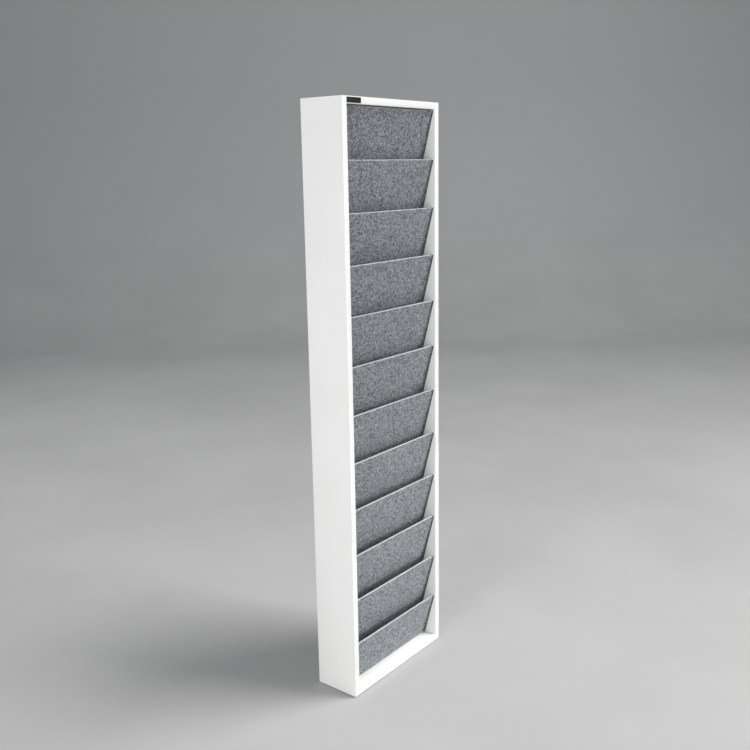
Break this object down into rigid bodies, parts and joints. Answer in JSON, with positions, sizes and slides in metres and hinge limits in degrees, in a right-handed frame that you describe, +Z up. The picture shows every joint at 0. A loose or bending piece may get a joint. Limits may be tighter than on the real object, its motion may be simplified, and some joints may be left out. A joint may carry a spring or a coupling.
{
  "type": "periodical display rack",
  "caption": "Tall shallow open-fronted case of white boards with slanted grey felt panels that form stacked pockets for displaying magazines.",
  "frame": {"origin": "on the floor, under the middle of the case", "axes": "+Z up, the open front faces -Y, +X to the right as seen from the front"},
  "size_m": [0.408, 0.1347, 1.6],
  "materials": {
    "lacquer": "smooth white satin lacquer on board",
    "back": "white faced thin board",
    "felt": "mottled grey pressed felt with cut edges",
    "beech": "plain beech dowel",
    "glide": "pale moulded plastic",
    "zinc": "bright zinc plated steel",
    "label": "blank black plate"
  },
  "bodies": {
    "root": {"side_left": "lacquer", "side_right": "lacquer", "top_board": "lacquer", "bottom_board": "lacquer", "back_panel": "back", "felt_panel_01": "felt", "felt_panel_02": "felt", "felt_panel_03": "felt", "felt_panel_04": "felt", "felt_panel_05": "felt", "felt_panel_06": "felt", "felt_panel_07": "felt", "felt_panel_08": "felt", "felt_panel_09": "felt", "felt_panel_10": "felt", "felt_panel_11": "felt", "felt_panel_12": "felt", "dowel_left_top_front": "beech", "dowel_left_top_back": "beech", "dowel_left_bottom_front": "beech", "dowel_left_bottom_back": "beech", "glide_left_front": "glide", "glide_left_back": "glide", "hanger_left": "zinc", "hanger_screw_left_upper": "zinc", "hanger_screw_left_lower": "zinc", "dowel_right_top_front": "beech", "dowel_right_top_back": "beech", "dowel_right_bottom_front": "beech", "dowel_right_bottom_back": "beech", "glide_right_front": "glide", "glide_right_back": "glide", "hanger_right": "zinc", "hanger_screw_right_upper": "zinc", "hanger_screw_right_lower": "zinc", "label_plate": "label"}
  },
  "joints": []
}
